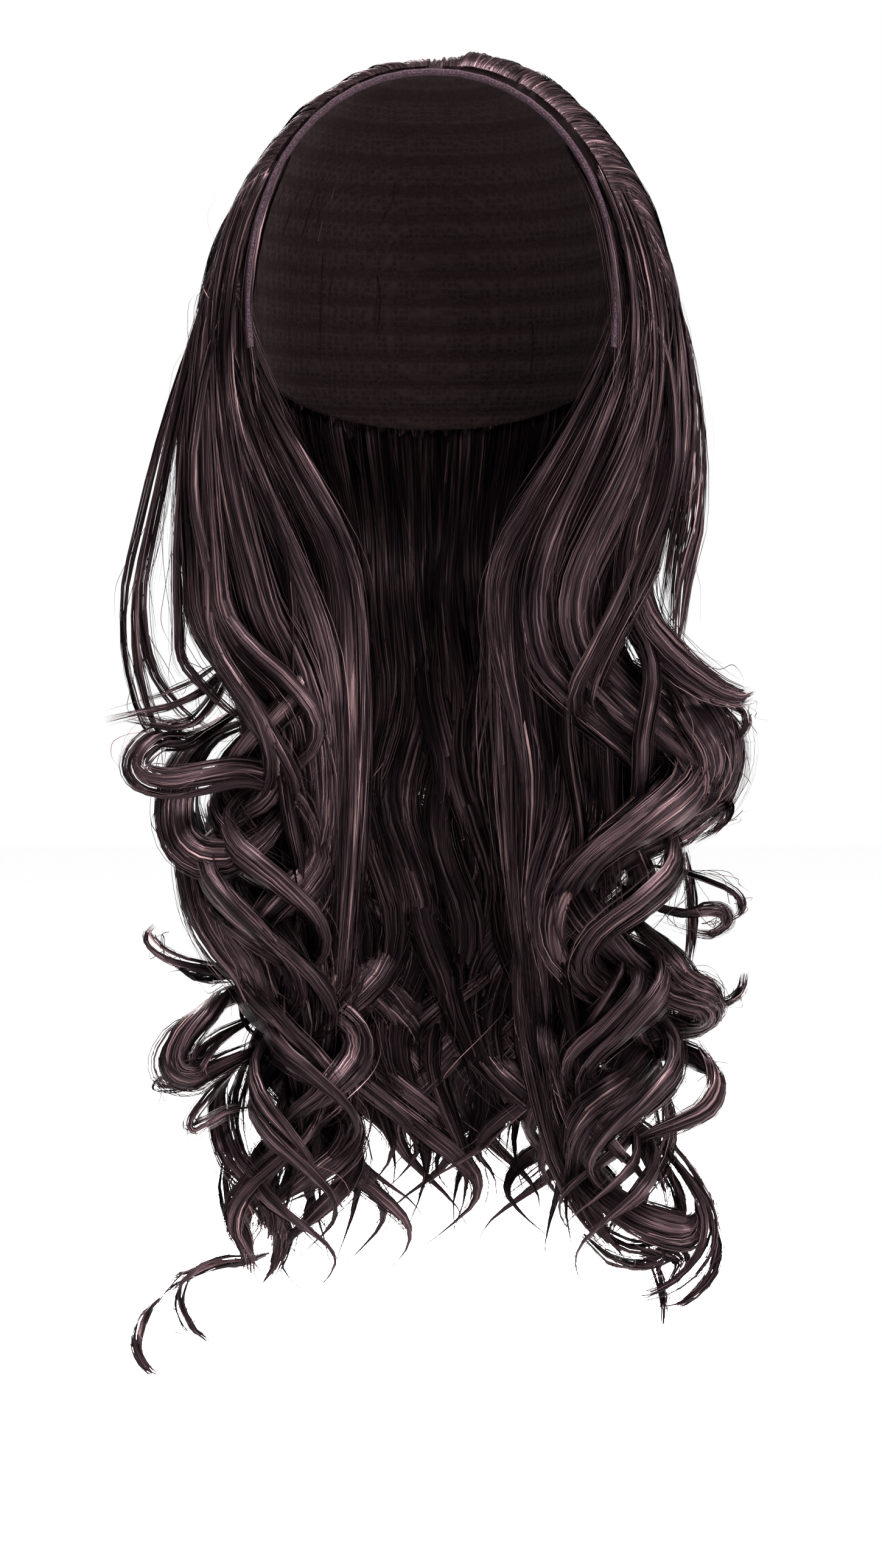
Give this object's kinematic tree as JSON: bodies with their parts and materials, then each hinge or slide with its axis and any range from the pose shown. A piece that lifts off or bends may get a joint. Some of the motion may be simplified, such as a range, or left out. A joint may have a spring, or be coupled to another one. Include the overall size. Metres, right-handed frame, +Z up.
{
  "type": "half wig",
  "caption": "Long dark half wig: a fitted cap open at the front, a stitched edge band, and hair combed back from a side parting that hangs in loose curls beside and behind the neck.",
  "frame": {"origin": "inside top of the cap, where it sits on the crown of the head", "axes": "+Z up, +X to the right seen from the front, +Y towards the back of the head"},
  "size_m": [0.2679, 0.1485, 0.5559],
  "materials": {
    "hair": "long synthetic fibre with a satin shine",
    "under_hair": "dense synthetic fibre, in shadow",
    "cap_cloth": "matte knitted net cloth",
    "band_cloth": "matte stitched binding"
  },
  "bodies": {
    "root": {"cap": "cap_cloth", "edge_band": "band_cloth", "crown_hair": "hair", "left_hair": "hair", "right_hair": "hair", "back_hair": "under_hair"}
  },
  "joints": []
}
